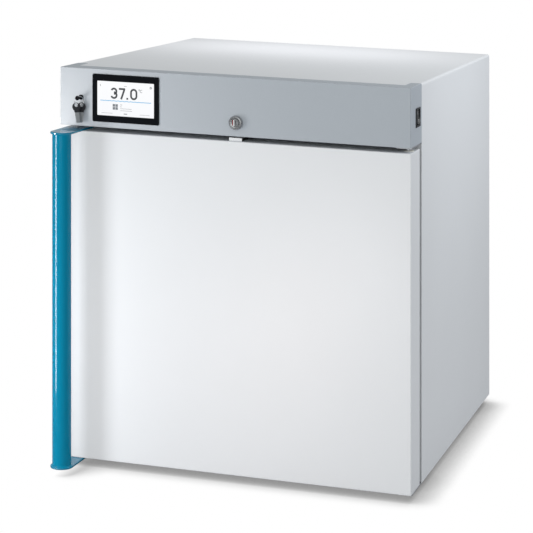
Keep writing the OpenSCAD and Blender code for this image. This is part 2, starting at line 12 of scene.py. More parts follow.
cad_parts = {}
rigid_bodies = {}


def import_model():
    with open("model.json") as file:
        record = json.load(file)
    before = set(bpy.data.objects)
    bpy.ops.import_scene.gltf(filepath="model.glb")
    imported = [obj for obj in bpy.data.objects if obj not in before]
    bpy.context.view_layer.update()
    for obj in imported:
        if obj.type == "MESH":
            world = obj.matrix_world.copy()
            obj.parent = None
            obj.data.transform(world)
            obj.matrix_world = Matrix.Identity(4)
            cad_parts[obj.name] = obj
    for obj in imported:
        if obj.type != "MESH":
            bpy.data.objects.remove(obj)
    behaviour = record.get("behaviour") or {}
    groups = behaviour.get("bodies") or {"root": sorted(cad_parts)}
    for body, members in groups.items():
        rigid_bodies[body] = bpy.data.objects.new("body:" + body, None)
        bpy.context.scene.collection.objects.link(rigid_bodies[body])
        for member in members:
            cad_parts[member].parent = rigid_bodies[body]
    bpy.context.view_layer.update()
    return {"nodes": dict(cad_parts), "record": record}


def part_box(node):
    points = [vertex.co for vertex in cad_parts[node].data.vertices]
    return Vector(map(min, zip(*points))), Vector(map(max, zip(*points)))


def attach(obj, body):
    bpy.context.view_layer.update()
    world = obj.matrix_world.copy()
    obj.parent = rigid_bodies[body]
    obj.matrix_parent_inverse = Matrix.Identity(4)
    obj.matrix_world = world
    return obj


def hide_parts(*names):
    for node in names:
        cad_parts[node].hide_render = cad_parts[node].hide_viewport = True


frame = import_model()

scene = bpy.context.scene
BODY_OF = {node: body for body, nodes in frame["record"]["behaviour"]["bodies"].items()
           for node in nodes}

# ---------------------------------------------------------------- frame
# Pieces are laid out in cabinet millimetres: y = 0 is the door's front face,
# z = 0 the casing's underside, x = 0 the cabinet's middle.
MM = 0.001
MM_SCALE = Matrix.Scale(MM, 4)
FRONT_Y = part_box("door_shell")[0].y
BASE_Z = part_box("outer_casing")[0].z


def place(x, y, z):
    """Cabinet millimetres to the row frame."""
    return Vector((x * MM, FRONT_Y + y * MM, BASE_Z + z * MM))


def to_mm(v):
    """The row frame to cabinet millimetres."""
    return Vector((v[0] * 1000, (v[1] - FRONT_Y) * 1000, (v[2] - BASE_Z) * 1000))


def box_mm(node):
    lo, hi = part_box(node)
    return to_mm(lo), to_mm(hi)


def axis_y(x, y, z):
    """Local millimetres with local Z pointing into the cabinet (+Y) from (x, y, z)."""
    return Matrix.Translation(place(x, y, z)) @ Matrix.Rotation(-math.pi / 2, 4, "X") @ MM_SCALE


def axis_z(x, y, z, down=False):
    """Local millimetres with local Z pointing up, or down, from (x, y, z)."""
    matrix = Matrix.Translation(place(x, y, z))
    if down:
        matrix = matrix @ Matrix.Rotation(math.pi, 4, "X")
    return matrix @ MM_SCALE


# ---------------------------------------------------------------- materials
MATERIALS = {}


class Material:
    """A node material in object coordinates (the row frame), listed in MATERIALS by its name."""

    def __init__(self, name):
        self.data = bpy.data.materials.new(name)
        self.data.use_nodes = True
        self.tree = self.data.node_tree
        self.shader = self.tree.nodes["Principled BSDF"]
        self.coords = self.add("ShaderNodeTexCoord").outputs["Object"]
        MATERIALS[name] = self.data

    def add(self, kind, **props):
        node = self.tree.nodes.new(kind)
        for key, value in props.items():
            setattr(node, key, value)
        return node

    def put(self, socket, value):
        """Links a socket, or sets a number or an RGB colour."""
        if isinstance(value, bpy.types.NodeSocket):
            self.tree.links.new(value, socket)
        elif isinstance(value, tuple):
            socket.default_value = (*value, 1.0)
        else:
            socket.default_value = value

    def set(self, **inputs):
        for key, value in inputs.items():
            self.put(self.shader.inputs[key.replace("_", " ")], value)

    def stretched(self, stretch):
        node = self.add("ShaderNodeMapping")
        self.put(node.inputs["Vector"], self.coords)
        node.inputs["Scale"].default_value = stretch
        return node.outputs["Vector"]

    def noise(self, scale, detail=2.0, rough=0.5, stretch=None, distort=0.0):
        node = self.add("ShaderNodeTexNoise")
        self.put(node.inputs["Vector"], self.stretched(stretch) if stretch else self.coords)
        node.inputs["Scale"].default_value = scale
        node.inputs["Detail"].default_value = detail
        node.inputs["Roughness"].default_value = rough
        node.inputs["Distortion"].default_value = distort
        return node.outputs[0]

    def cells(self, scale, out="Distance"):
        node = self.add("ShaderNodeTexVoronoi", feature="F1")
        self.put(node.inputs["Vector"], self.coords)
        node.inputs["Scale"].default_value = scale
        return node.outputs[out]

    def cell_values(self, scale):
        """One random value for each cell."""
        colours = self.cells(scale, out="Color")
        node = self.add("ShaderNodeSeparateColor")
        self.put(node.inputs[0], colours)
        return node.outputs[0]

    def axes(self):
        node = self.add("ShaderNodeSeparateXYZ")
        self.put(node.inputs[0], self.coords)
        return node.outputs

    def remap(self, value, span=(0.3, 0.7), to=(0.0, 1.0)):
        node = self.add("ShaderNodeMapRange")
        for i, v in enumerate((value, *span, *to)):
            self.put(node.inputs[i], v)
        return node.outputs[0]

    def mix(self, factor, first, second, blend="MIX"):
        node = self.add("ShaderNodeMix", data_type="RGBA", blend_type=blend)
        self.put(node.inputs[0], factor)
        self.put(node.inputs[6], first)
        self.put(node.inputs[7], second)
        return node.outputs[2]

    def vary(self, factor, colour, low, high):
        """A colour drifting between two brightness factors."""
        return self.mix(factor, tint(colour, low), tint(colour, high))

    def maths(self, kind, first, second):
        node = self.add("ShaderNodeMath", operation=kind)
        self.put(node.inputs[0], first)
        self.put(node.inputs[1], second)
        return node.outputs[0]

    def bump(self, height, strength, distance):
        node = self.add("ShaderNodeBump")
        node.inputs["Strength"].default_value = strength
        node.inputs["Distance"].default_value = distance
        self.put(node.inputs["Height"], height)
        self.set(Normal=node.outputs[0])


def tint(colour, factor):
    return tuple(v * factor for v in colour)


def paint(name, colour, rough, peel, peel_scale=620, metal=0.0, spec=0.5, flake=0.0):
    """Sprayed or powder-coated metal: orange peel, tone drift, dust pits, optional metal flake."""
    mat = Material(name)
    drift = mat.remap(mat.noise(scale=3.1, detail=3, rough=0.55))
    base = mat.vary(drift, colour, low=0.985, high=1.012)
    pits = mat.remap(mat.cells(scale=240), span=(0.0, 0.035), to=(1.0, 0.0))
    base = mat.mix(mat.maths("MULTIPLY", pits, 0.05), base, tint(colour, 0.7))
    if flake:
        sparkle = mat.remap(mat.cell_values(scale=2600), span=(0.0, 1.0), to=(0.0, flake))
        base = mat.mix(sparkle, base, tint(colour, 1.5))
    mat.set(Base_Color=base, Metallic=metal, Coat_Weight=0.0, Coat_Roughness=0.1,
            Specular_IOR_Level=spec)
    patches = mat.noise(scale=55, rough=0.6)
    mat.set(Roughness=mat.remap(patches, span=(0.25, 0.75), to=(rough - 0.03, rough + 0.035)))
    skin = mat.noise(scale=peel_scale, detail=1.5, rough=0.45)
    mat.bump(skin, strength=peel, distance=0.0004)


def brushed(name, colour, rough, stretch=(4, 4, 900), spangle=0.0):
    """Brushed or plated steel: drawn grain, roughness streaks and faint handling marks."""
    mat = Material(name)
    grain = mat.noise(scale=1.0, detail=4, rough=0.6, stretch=stretch)
    broad = mat.noise(scale=7)
    base = mat.vary(mat.remap(grain), colour, low=0.88, high=1.1)
    if spangle:
        flowers = mat.remap(mat.cell_values(scale=90), span=(0, 1), to=(0.0, spangle))
        base = mat.mix(flowers, base, tint(colour, 0.72))
    mat.set(Base_Color=base, Metallic=1.0)
    streaks = mat.remap(grain, to=(rough - 0.04, rough + 0.04))
    mat.set(Roughness=mat.maths("ADD", streaks, mat.remap(broad, to=(-0.02, 0.03))))
    mat.bump(grain, strength=0.06, distance=0.0003)


def polished(name, colour, rough):
    """Chrome plate: near mirror with faint finger smudges and plating ripple."""
    mat = Material(name)
    blots = mat.noise(scale=95, detail=3, rough=0.6, distort=0.6)
    smudge = mat.remap(blots, span=(0.45, 0.75))
    mat.set(Base_Color=mat.mix(smudge, colour, tint(colour, 0.93)), Metallic=1.0,
            Roughness=mat.remap(smudge, span=(0, 1), to=(rough, rough + 0.12)))
    mat.bump(mat.noise(scale=160, detail=1, rough=0.4), strength=0.03, distance=0.0003)


def plastic(name, colour, rough, grain, spec=0.5):
    """Moulded plastic: spark-eroded grain and slight tone and gloss drift."""
    mat = Material(name)
    drift = mat.remap(mat.noise(scale=30))
    mat.set(Base_Color=mat.vary(drift, colour, low=0.85, high=1.15),
            Specular_IOR_Level=spec, Coat_Weight=0.0, Coat_Roughness=0.03)
    patches = mat.noise(scale=70, rough=0.6)
    mat.set(Roughness=mat.remap(patches, span=(0.25, 0.75), to=(rough - 0.04, rough + 0.05)))
    mat.bump(mat.noise(scale=1700), strength=grain, distance=0.0002)


def rubber(name, colour, rough, scatter=0.0):
    """Dusty rubber; scatter lets light into it."""
    mat = Material(name)
    dust = mat.remap(mat.noise(scale=120, detail=4, rough=0.65), span=(0.45, 0.7))
    dusty = tuple(0.8 * v + 0.02 for v in colour)
    mat.set(Base_Color=mat.mix(dust, colour, dusty), Specular_IOR_Level=0.3)
    mat.set(Roughness=mat.remap(dust, span=(0, 1), to=(rough, rough + 0.15)),
            Subsurface_Weight=scatter, Subsurface_Scale=0.003)
    mat.bump(mat.noise(scale=900, detail=3, rough=0.6), strength=0.2, distance=0.0003)


def circuit_board():
    """Green solder resist over copper tracks, with tinned pads."""
    mat = Material("circuit_board")
    bricks = mat.add("ShaderNodeTexBrick", offset=0.37, squash=1.0)
    mat.put(bricks.inputs["Vector"], mat.stretched((1, 1, 1)))
    bricks.inputs["Scale"].default_value = 70
    bricks.inputs["Mortar Size"].default_value = 0.012
    tracks = mat.remap(bricks.outputs["Fac"], span=(0.2, 0.8))
    pads = mat.remap(mat.cells(scale=420), span=(0.0, 0.16), to=(1.0, 0.0))
    base = mat.mix(tracks, (0.012, 0.13, 0.055), (0.03, 0.24, 0.10))
    base = mat.mix(mat.remap(pads, span=(0.35, 0.55)), base, (0.62, 0.6, 0.52))
    mat.set(Base_Color=base, Roughness=mat.remap(pads, span=(0, 1), to=(0.35, 0.28)),
            Coat_Weight=0.3)
    mat.bump(tracks, strength=0.2, distance=0.0002)


def mineral_wool():
    mat = Material("mineral_wool")
    fibre = mat.noise(scale=260, detail=6, rough=0.72, stretch=(1, 0.35, 2.2), distort=1.4)
    clump = mat.noise(scale=38, detail=4, rough=0.6)
    base = mat.mix(mat.remap(fibre), (0.40, 0.33, 0.17), (0.68, 0.62, 0.42))
    base = mat.mix(mat.remap(clump, span=(0.4, 0.7), to=(0, 0.5)), base, (0.36, 0.30, 0.16))
    mat.set(Base_Color=base, Roughness=0.95, Sheen_Weight=0.4, Specular_IOR_Level=0.1)
    mat.bump(fibre, strength=0.8, distance=0.002)


def heater_sheath():
    """Heat-stained metal, brown to blue."""
    mat = Material("heater_sheath")
    heat = mat.remap(mat.noise(scale=16), span=(0.35, 0.65))
    base = mat.mix(heat, (0.26, 0.22, 0.17), (0.16, 0.17, 0.24))
    mat.set(Base_Color=base, Metallic=0.9,
            Roughness=mat.remap(mat.noise(scale=220), to=(0.38, 0.52)))
    mat.bump(mat.noise(scale=800), strength=0.1, distance=0.0002)


def screen_glass():
    """Lit display: a faint vertical falloff and fine vertical banding under a glossy coat."""
    mat = Material("screen_glass")
    lo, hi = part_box("touch_screen")
    height = mat.remap(mat.axes()[2], span=(lo.z, hi.z))
    glow = mat.mix(height, (0.955, 0.965, 0.985), (0.985, 0.99, 1.0))
    wave = mat.add("ShaderNodeTexWave", bands_direction="X")
    mat.put(wave.inputs["Vector"], mat.coords)
    wave.inputs["Scale"].default_value = 1400
    bands = mat.remap(wave.outputs["Fac"], span=(0, 1), to=(0.0, 0.03))
    glow = mat.mix(bands, glow, (0.7, 0.76, 0.82))
    mat.set(Base_Color=mat.mix(0.5, (0.02, 0.02, 0.025), (0.03, 0.03, 0.035)),
            Roughness=0.06, Coat_Weight=1.0, Coat_Roughness=0.02)
    mat.set(Emission_Color=glow, Emission_Strength=1.0)


def ink(name, colour):
    """A mark on the lit display: emits only its own share of the backlight."""
    mat = Material(name)
    edge = mat.remap(mat.noise(scale=900))
    glow = mat.vary(edge, colour, low=0.94, high=1.06)
    mat.set(Base_Color=(0.02, 0.02, 0.02), Roughness=0.1, Emission_Color=glow,
            Emission_Strength=1.0)


def enamel(name, colour, rough=0.25):
    mat = Material(name)
    mat.set(Base_Color=mat.vary(mat.remap(mat.noise(scale=300)), colour, low=0.9, high=1.1),
            Roughness=rough, Coat_Weight=0.5)
    mat.bump(mat.noise(scale=1200, detail=1), strength=0.05, distance=0.0002)


paint("white_paint", (0.80, 0.815, 0.835), rough=0.36, peel=0.045)
paint("grey_paint", (0.425, 0.462, 0.505), rough=0.44, peel=0.04, metal=0.08, spec=0.45,
      flake=0.12)
paint("teal_lacquer", (0.0, 0.212, 0.352), rough=0.11, peel=0.008, peel_scale=320, spec=0.14)
# A slightly darker copy of the tube's teal for the handle's end plates: painted shade.
paint("teal_plate_shaded", (0.0, 0.200, 0.335), rough=0.13, peel=0.01, peel_scale=320)
polished("lock_nickel", (0.36, 0.365, 0.375), rough=0.24)
brushed("key_steel", (0.40, 0.41, 0.42), rough=0.34, stretch=(900, 900, 40))
brushed("stainless", (0.60, 0.61, 0.62), rough=0.30)
brushed("zinc_steel", (0.56, 0.57, 0.59), rough=0.42, stretch=(60, 60, 60), spangle=0.5)
polished("chrome", (0.72, 0.73, 0.74), rough=0.1)
plastic("black_plastic", (0.0035, 0.0045, 0.0065), rough=0.13, grain=0.015, spec=0.2)
plastic("black_matte", (0.014, 0.015, 0.019), rough=0.4, grain=0.2, spec=0.35)
screen_glass()
circuit_board()
mineral_wool()
rubber("gasket_rubber", (0.07, 0.072, 0.078), rough=0.55)
rubber("foot_rubber", (0.04, 0.04, 0.042), rough=0.7)
rubber("silicone", (0.78, 0.27, 0.07), rough=0.42, scatter=0.25)
plastic("nylon", (0.80, 0.78, 0.70), rough=0.4, grain=0.06)
brushed("fan_alloy", (0.62, 0.63, 0.64), rough=0.36, stretch=(300, 300, 300))
paint("motor_enamel", (0.05, 0.065, 0.075), rough=0.4, peel=0.15, peel_scale=400)
heater_sheath()

# Material slot: the CAD nodes that wear it.
NODES_IN = {
    "white_paint": "outer_casing rear_cover front_frame door_shell striker",
    "zinc_steel": """base_plate foot_screws compartment_floor lock_cam power_supply rear_screws
        handle_screws hinge_bracket_upper hinge_bracket_lower hinge_screws""",
    "foot_rubber": "rubber_feet",
    "stainless": """chamber_liner shelf_runner_left shelf_runner_right air_baffle
        temperature_probe port_tube door_inner_panel""",
    "mineral_wool": "insulation_jacket door_insulation",
    "chrome": "shelf_upper shelf_lower lock_body lock_plug key_ring",
    "fan_alloy": "fan_wheel",
    "motor_enamel": "fan_motor",
    "heater_sheath": "heater_coil",
    "silicone": "port_plug",
    "grey_paint": "control_fascia",
    "black_plastic": "display_bezel key_hook switch_rocker",
    "screen_glass": "touch_screen",
    "circuit_board": "display_board control_board",
    "black_matte": "key_left key_right switch_housing wiring_harness mains_inlet",
    "gasket_rubber": "door_gasket",
    "teal_lacquer": "handle_tube handle_plate_upper handle_plate_lower",
    "nylon": "hinge_bushes",
}
SLOT_OF = {node: slot for slot, nodes in NODES_IN.items() for node in nodes.split()}
for node, cad_object in frame["nodes"].items():
    material = MATERIALS[SLOT_OF[node]]
    if not cad_object.material_slots:
        cad_object.data.materials.append(material)
    for material_slot in cad_object.material_slots:
        material_slot.material = material


# ---------------------------------------------------------------- outlines
def arc(x, y, radius, start, end, steps):
    """Points on an arc, angles in degrees."""
    angles = [math.radians(start + (end - start) * i / steps) for i in range(steps + 1)]
    return [(x + radius * math.cos(a), y + radius * math.sin(a)) for a in angles]


def circle(radius, count, x=0.0, y=0.0):
    angles = [2 * math.pi * i / count for i in range(count)]
    return [(x + radius * math.cos(a), y + radius * math.sin(a)) for a in angles]


def rectangle(half_width, half_height, x=0.0, y=0.0):
    return [(x + i * half_width, y + j * half_height)
            for i, j in ((-1, -1), (1, -1), (1, 1), (-1, 1))]


def front_loop(x, z, y, width, height, radius):
    """A rounded rectangle round (x, z), parallel to the door's front, in the row frame."""
    half_w, half_h = width / 2 - radius, height / 2 - radius
    corners = ((half_w, half_h), (-half_w, half_h), (-half_w, -half_h), (half_w, -half_h))
    points = []
    for quarter, (cx, cz) in enumerate(corners):
        points += arc(cx, cz, radius, 90 * quarter, 90 * quarter + 90, 6)
    return [place(x + px, y, z + pz) for px, pz in points]


def plate_loops(x, z, width, height, radius, profile):
    """Rounded rectangles for a profile of (y, inset) pairs."""
    return [front_loop(x, z, y, width - 2 * d, height - 2 * d, max(radius - d, 0.25))
            for y, d in profile]


# ---------------------------------------------------------------- mesh helpers
def add_object(name, data):
    obj = bpy.data.objects.new(name, data)
    scene.collection.objects.link(obj)
    return obj


def piece(bm, name, mat, body, replaces=(), sharp=32, weighted=True, bounce=True):
    """Turns a bmesh in the row frame into a smooth-shaded piece that rides on a CAD body."""
    bmesh.ops.recalc_face_normals(bm, faces=bm.faces)
    mesh = bpy.data.meshes.new(name)
    bm.to_mesh(mesh)
    bm.free()
    for polygon in mesh.polygons:
        polygon.use_smooth = True
    mesh.set_sharp_from_angle(angle=math.radians(sharp))
    mesh.materials.append(MATERIALS[mat])
    obj = add_object(name, mesh)
    if weighted:
        normals = obj.modifiers.new("normals", "WEIGHTED_NORMAL")
        normals.keep_sharp = True
        normals.weight = 80
    obj.visible_diffuse = bounce
    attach(obj, body)
    if replaces:
        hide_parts(*replaces)


def round_edges(bm, edges, width, segs):
    bmesh.ops.bevel(bm, geom=edges, offset=width, offset_type="OFFSET", segments=segs,
                    profile=0.5, affect="EDGES", clamp_overlap=False)


def refine(node, width, segs, passes=()):
    """A CAD node with rounded edges. Each pass (test(mid, end, end), width, segments) goes first."""
    bm = bmesh.new()
    bm.from_mesh(frame["nodes"][node].data)
    bmesh.ops.remove_doubles(bm, verts=bm.verts, dist=2e-6)
    bmesh.ops.dissolve_limit(bm, angle_limit=math.radians(0.5), verts=bm.verts, edges=bm.edges)
    for test, pass_width, pass_segs in (*passes, (lambda mid, a, b: True, width, segs)):
        chosen = []
        for edge in bm.edges:
            if len(edge.link_faces) == 2 and edge.calc_face_angle(0.0) > math.radians(28):
                a, b = (to_mm(v.co) for v in edge.verts)
                if test((a + b) / 2, a, b):
                    chosen.append(edge)
        if chosen:
            round_edges(bm, chosen, pass_width * MM, pass_segs)
    bmesh.ops.remove_doubles(bm, verts=bm.verts, dist=1e-6)
    piece(bm, node + "_v", SLOT_OF[node], BODY_OF[node], replaces=(node,))


def verts_at(bm, points, z):
    return [bm.verts.new((x, y, z)) for x, y in points]


def bridge(bm, first, second):
    """A band of quads between two closed rings."""
    for i in range(len(first)):
        j = (i + 1) % len(first)
        bm.faces.new((first[i], first[j], second[j], second[i]))


def join_rings(bm, rings, capped=False):
    for first, second in zip(rings, rings[1:]):
        bridge(bm, first, second)
    if capped:
        bm.faces.new(rings[0])
        bm.faces.new(list(reversed(rings[-1])))


def loop_edges(bm, verts):
    pairs = zip(verts, verts[1:] + verts[:1])
    return [bm.edges.get(pair) or bm.edges.new(pair) for pair in pairs]


def fill_between(bm, outer, inner, facing):
    """A flat face between two rings; facing is the sign of its normal's z."""
    bmesh.ops.triangle_fill(bm, edges=loop_edges(bm, inner) + loop_edges(bm, outer),
                            use_beauty=True, normal=(0, 0, facing))


def sink(bm, outer, outline, top, floor, facing, taper=1.0):
    """A pocket with the given outline, cut in the flat end bounded by the ring outer."""
    upper = verts_at(bm, outline, top)
    lower = verts_at(bm, [(x * taper, y * taper) for x, y in outline], floor)
    fill_between(bm, outer, upper, facing)
    bridge(bm, upper, lower)
    bm.faces.new(lower)


def round_rims(bm, width, segs):
    """Rounds the rims of both flat sides of a plate that lies across local z."""
    bmesh.ops.recalc_face_normals(bm, faces=bm.faces)
    rims = [e for e in bm.edges if abs(e.verts[0].co.z - e.verts[1].co.z) < 1e-6
            and e.calc_face_angle(0.0) > 1.0]
    round_edges(bm, rims, width, segs)


def loft(loops, capped=True):
    """Joins closed loops of equal length, given in the row frame, into one skin."""
    bm = bmesh.new()
    join_rings(bm, [[bm.verts.new(p) for p in loop] for loop in loops], capped)
    return bm


def lathe(profile, matrix, segs, closed=False):
    """Turns (radius, height) pairs round local Z. closed joins the last pair to the first."""
    bm = bmesh.new()
    rings = []
    for radius, height in profile:
        points = circle(radius, segs) if radius > 1e-6 else [(0, 0)]
        rings.append([bm.verts.new(matrix @ Vector((x, y, height))) for x, y in points])
    for a, b in list(zip(rings, rings[1:])) + ([(rings[-1], rings[0])] if closed else []):
        if len(a) == len(b):
            bridge(bm, a, b)
            continue
        for i in range(segs):
            j = (i + 1) % segs
            bm.faces.new((a[0], b[j], b[i]) if len(a) == 1 else (a[i], a[j], b[0]))
    return bm


def slab(outline, thickness, matrix, edge, segs):
    """A flat plate above local z = 0 with both rims rounded; outline in local mm."""
    bm = bmesh.new()
    face = bm.faces.new(verts_at(bm, outline, 0))
    made = bmesh.ops.extrude_face_region(bm, geom=[face])["geom"]
    upper = [g for g in made if isinstance(g, bmesh.types.BMVert)]
    bmesh.ops.translate(bm, verts=upper, vec=(0, 0, thickness))
    round_rims(bm, edge, segs)
    bmesh.ops.transform(bm, matrix=matrix, verts=bm.verts)
    return bm


def merge(parts):
    out = bmesh.new()
    for part in parts:
        mesh = bpy.data.meshes.new("tmp")
        part.to_mesh(mesh)
        part.free()
        out.from_mesh(mesh)
        bpy.data.meshes.remove(mesh)
    return out


def sweep(path, radius, sides):
    """A round wire along an open path in the row frame (radius in metres)."""
    bm = bmesh.new()
    rings = []
    side = None
    for i, point in enumerate(path):
        along = (path[min(i + 1, len(path) - 1)] - path[max(i - 1, 0)]).normalized()
        if side is None:
            side = along.cross(Vector((0, 0, 1))).normalized()
        else:
            side = (side - along * side.dot(along)).normalized()
        across = along.cross(side)
        rings.append([bm.verts.new(point + radius * (side * c + across * s))
                      for c, s in circle(1, sides)])
    join_rings(bm, rings, capped=True)
    return bm


def screw(matrix, radius, height, recess, shank_radius, shank_length):
    """Pan-head screw, as two bmeshes: a domed head with a cross recess above z = 0, and a shank."""
    bm = bmesh.new()
    profile = [(radius, 0.0), (radius, height * 0.35)]
    for degrees in (25, 50, 75, 90):
        a = math.radians(degrees)
        profile.append((radius - 0.28 * radius * (1 - math.cos(a)),
                        height * 0.35 + height * 0.65 * math.sin(a)))
    rings = [verts_at(bm, circle(r, 32), z) for r, z in profile]
    bm.faces.new(list(reversed(rings[0])))
    join_rings(bm, rings)
    arm, half = radius * 0.52, radius * 0.15
    cross = [(half, -half), (arm, -half), (arm, half), (half, half), (half, arm), (-half, arm),
             (-half, half), (-arm, half), (-arm, -half), (-half, -half), (-half, -arm),
             (half, -arm)]
    sink(bm, rings[-1], cross, top=height, floor=height - recess, facing=1, taper=0.7)
    bmesh.ops.transform(bm, matrix=matrix, verts=bm.verts)
    shank = [(0, -shank_length), (shank_radius, -shank_length), (shank_radius, 0), (0, 0)]
    return [bm, lathe(shank, matrix, 16)]


# ---------------------------------------------------------------- cabinet
NEAR = 0.05  # tolerance when picking edges by place
casing_hi = box_mm("outer_casing")[1]
HALF_WIDTH = casing_hi.x
TOP = casing_hi.z
FASCIA_FOOT = box_mm("control_fascia")[0].z
FASCIA_FRONT = 3.0  # edges up to this depth are on the fascia's front


def on_fascia_outside(mid):
    return mid.y < FASCIA_FRONT + NEAR or abs(mid.x) > HALF_WIDTH - NEAR


def fascia_top(mid, a, b):
    return min(a.z, b.z) > TOP - NEAR and on_fascia_outside(mid)


def fascia_foot(mid, a, b):
    return max(a.z, b.z) < FASCIA_FOOT + NEAR and on_fascia_outside(mid)


refine("outer_casing", 0.45, 2)
refine("rear_cover", 0.3, 2)
refine("front_frame", 0.4, 2)
refine("base_plate", 0.3, 2)
refine("rubber_feet", 0.6, 3)
refine("control_fascia", 0.35, 2, passes=((fascia_top, 1.0, 4), (fascia_foot, 0.8, 4)))

# ---------------------------------------------------------------- door
door_lo, door_hi = box_mm("door_shell")
door_size = door_hi - door_lo
door_mid = (door_lo + door_hi) / 2
DOOR_DEPTH = door_size.y
SHEET = 1.5  # sheet thickness
FOLD = 1.6  # radius of the front edge
LIP = 17.0  # width of the lip folded in at the back
# (y, inset): front fold, side, back edge, lip, then back along the inside of the sheet
door_profile = [(FOLD - FOLD * math.cos(math.radians(a)), FOLD - FOLD * math.sin(math.radians(a)))
                for a in range(0, 91, 15)]
door_profile += [
    (DOOR_DEPTH - 0.7, 0.0), (DOOR_DEPTH - 0.2, 0.2), (DOOR_DEPTH, 0.7),
    (DOOR_DEPTH, LIP - 0.6), (DOOR_DEPTH - 0.3, LIP - 0.1), (DOOR_DEPTH - SHEET, LIP),
    (DOOR_DEPTH - SHEET, SHEET), (SHEET, SHEET),
]
door_loops = plate_loops(door_mid.x, door_mid.z, door_size.x, door_size.z, 1.4, door_profile)
piece(loft(door_loops), "door_skin", "white_paint", "door", replaces=("door_shell",))
refine("door_inner_panel", 0.4, 2, passes=((lambda mid, a, b: mid.y > DOOR_DEPTH + 15, 3.0, 5),))
refine("door_gasket", 0.6, 2, passes=((lambda mid, a, b: mid.y > DOOR_DEPTH + 12, 2.6, 5),))
refine("striker", 0.7, 3)

# ---------------------------------------------------------------- handle
tube_lo, tube_hi = box_mm("handle_tube")
tube_x, tube_y = (tube_lo.x + tube_hi.x) / 2, (tube_lo.y + tube_hi.y) / 2
tube_radius = (tube_hi.x - tube_lo.x) / 2
tube_length = tube_hi.z - tube_lo.z
TUBE_WALL = 2
PLATE_CORNER = 2  # radius of the end plates' rear corners
PLATE_TO_HEAD = 3.3  # from the tube's end to the underside of a screw head
# Flared end: (radius, distance from the end)
flare = [(tube_radius, 1.6), (tube_radius + 0.25, 0.9), (tube_radius + 0.8, 0.3),
         (tube_radius + 1.5, 0.0)]
tube = [(tube_radius - TUBE_WALL, 0.0)] + flare[::-1] + [(tube_radius, 2.4)]
tube += [(tube_radius, tube_length * k / 8) for k in range(1, 8)]
tube += [(tube_radius, tube_length - 2.4)] + [(r, tube_length - h) for r, h in flare]
tube += [(tube_radius - TUBE_WALL, tube_length)]
piece(lathe(tube, axis_z(tube_x, tube_y, tube_lo.z), 96, closed=True), "grip_tube",
      "teal_lacquer", "door", replaces=("handle_tube",), sharp=60, bounce=False)

# End plates: round in front, running back to the door.
for node in ("handle_plate_upper", "handle_plate_lower"):
    lo, hi = box_mm(node)
    radius = (hi.x - lo.x) / 2
    corner_x, corner_y = radius - PLATE_CORNER, hi.y - tube_y - PLATE_CORNER
    outline = [(-radius, corner_y), (-radius, 0)] + arc(0, 0, radius, 180, 360, 32)[1:-1]
    outline += [(radius, 0), (radius, corner_y)]
    outline += arc(corner_x, corner_y, PLATE_CORNER, 0, 90, 4)[1:]
    outline += arc(-corner_x, corner_y, PLATE_CORNER, 90, 180, 4)[:-1]
    plate = slab(outline, hi.z - lo.z, axis_z(tube_x, tube_y, lo.z), 0.9, 4)
    # The plates wear the darker teal copy, which is painted shade.
    piece(plate, node + "_v", "teal_plate_shaded", "door", replaces=(node,),
          bounce=False)

screws = []
for z, down in ((tube_hi.z + PLATE_TO_HEAD, False), (tube_lo.z - PLATE_TO_HEAD, True)):
    for y in (16, 34):
        screws += screw(axis_z(tube_x, y, z, down), radius=4.0, height=1.8, recess=1.1,
                        shank_radius=1.9, shank_length=12)
piece(merge(screws), "handle_screw_set", "zinc_steel", "door", replaces=("handle_screws",))

# ---------------------------------------------------------------- display
bezel_lo, bezel_hi = box_mm("display_bezel")
screen_lo, screen_hi = box_mm("touch_screen")
mid_x, mid_z = (bezel_lo.x + bezel_hi.x) / 2, (bezel_lo.z + bezel_hi.z) / 2
screen_w, screen_h = screen_hi.x - screen_lo.x, screen_hi.z - screen_lo.z
bezel_w, bezel_h = bezel_hi.x - bezel_lo.x, bezel_hi.z - bezel_lo.z
bezel_y = bezel_lo.y
GAP = 0.2  # between screen and bezel
open_w, open_h = screen_w + 2 * GAP, screen_h + 2 * GAP
# (y, width, height, corner radius): out of the opening, over the face, back down the outside
bezel_stations = [
    (9, open_w, open_h, 0.8),
    (bezel_y + 0.35, open_w, open_h, 0.8),
    (bezel_y + 0.1, open_w + 0.2, open_h + 0.2, 0.9),
    (bezel_y, open_w + 0.6, open_h + 0.6, 1.0),
    (bezel_y, bezel_w - 1.5, bezel_h - 1.5, 1.9),
    (bezel_y + 0.12, bezel_w - 0.8, bezel_h - 0.8, 2.2),
    (bezel_y + 0.45, bezel_w - 0.2, bezel_h - 0.2, 2.5),
    (bezel_y + 0.8, bezel_w, bezel_h, 2.5),
    (-0.02, bezel_w, bezel_h, 2.5),
    (0.0, bezel_w - 0.6, bezel_h - 0.6, 2.3),
    (0.0, 103.5, 65.5, 2.6),
    (9, 103.5, 65.5, 2.6),
]
bezel_loops = [front_loop(mid_x, mid_z, *station) for station in bezel_stations]
bezel = loft(bezel_loops + bezel_loops[:1], capped=False)
bmesh.ops.remove_doubles(bezel, verts=bezel.verts, dist=1e-7)
piece(bezel, "display_frame", "black_plastic", "cabinet", replaces=("display_bezel",))
SCREEN_Y = screen_lo.y
panel_profile = [(SCREEN_Y, 0.15), (SCREEN_Y + 0.15, 0.0), (screen_hi.y - 0.2, 0.0),
                 (screen_hi.y, 0.2)]
piece(loft(plate_loops(mid_x, mid_z, screen_w, screen_h, 0.7, panel_profile)), "display_panel",
      "screen_glass", "cabinet", replaces=("touch_screen",))

# Marks are thin reliefs on the glass. u runs right and v up, in mm from the display's middle.
RELIEF = 0.06


